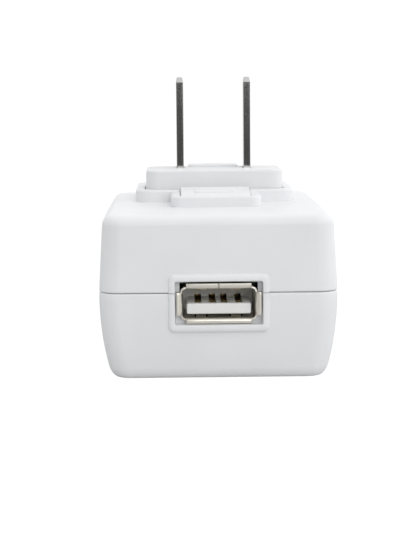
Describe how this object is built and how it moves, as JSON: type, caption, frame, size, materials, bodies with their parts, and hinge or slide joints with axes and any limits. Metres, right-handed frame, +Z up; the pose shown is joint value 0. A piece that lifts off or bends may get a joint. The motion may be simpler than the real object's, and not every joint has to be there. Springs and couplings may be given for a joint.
{
  "type": "usb wall charger",
  "caption": "White two-shell USB wall charger with a port on its front end and a lift-off plug head with flat blades, held by a sprung rocking button.",
  "frame": {"origin": "centre of the base, under the middle of the whole charger's bounding box", "axes": "+Z up along the blades, +Y from the port to the rear, +X to the right of the port as seen from in front of it"},
  "size_m": [0.041, 0.0564, 0.0513],
  "materials": {
    "housing_plastic": "fine satin moulded white",
    "plug_plastic": "fine satin moulded white",
    "button_plastic": "satin moulded white",
    "blade_metal": "nickel-plated, brushed, bright bevelled tips",
    "port_metal": "nickel-plated stamped sheet, warm tint",
    "port_plastic": "natural white moulded insulator",
    "contact_metal": "plated brass strip",
    "spring_steel": "drawn spring wire",
    "board": "dark green solder mask",
    "ferrite": "dull dark ferrite",
    "tape": "yellow polyester tape",
    "moulded_black": "black moulding compound",
    "capacitor_sleeve": "dark heat-shrunk sleeve",
    "disc_coating": "blue dipped coating",
    "resistor_coating": "light blue lacquer"
  },
  "bodies": {
    "charger_body": {"lower_housing": "housing_plastic", "upper_housing": "housing_plastic", "button_spring": "spring_steel", "socket_contact_left": "contact_metal", "socket_contact_right": "contact_metal", "usb_shell": "port_metal", "usb_insulator": "port_plastic", "usb_contact_1": "contact_metal", "usb_contact_2": "contact_metal", "usb_contact_3": "contact_metal", "usb_contact_4": "contact_metal", "main_board": "board", "transformer_core_front": "ferrite", "transformer_core_rear": "ferrite", "transformer_bobbin": "moulded_black", "transformer_winding": "tape", "output_capacitor_large": "capacitor_sleeve", "output_capacitor_small": "capacitor_sleeve", "input_capacitor_left": "capacitor_sleeve", "input_capacitor_right": "capacitor_sleeve", "input_inductor": "ferrite", "safety_capacitor": "disc_coating", "output_diode": "moulded_black", "fusible_resistor": "resistor_coating", "snubber_resistor": "resistor_coating", "controller_chip": "moulded_black", "optocoupler": "moulded_black", "bridge_rectifier": "moulded_black"},
    "plug_head": {"plug_cover": "plug_plastic", "plug_base": "plug_plastic", "blade_left": "blade_metal", "blade_right": "blade_metal", "plug_contact_left": "contact_metal", "plug_contact_right": "contact_metal"},
    "release_button": {"release_button": "button_plastic"}
  },
  "joints": [
    {"name": "plug_head_lift", "type": "slide", "parent": "charger_body", "child": "plug_head", "axis": [0, 0, 1], "range_m": [0, 0.009]},
    {"name": "release_button_tilt", "type": "hinge", "parent": "charger_body", "child": "release_button", "pos_m": [0, -0.00945, 0.0283], "axis": [-1, 0, 0], "range_deg": [0, 5], "stiffness_Nm_per_rad": 0.1, "deforming": ["button_spring"]}
  ]
}
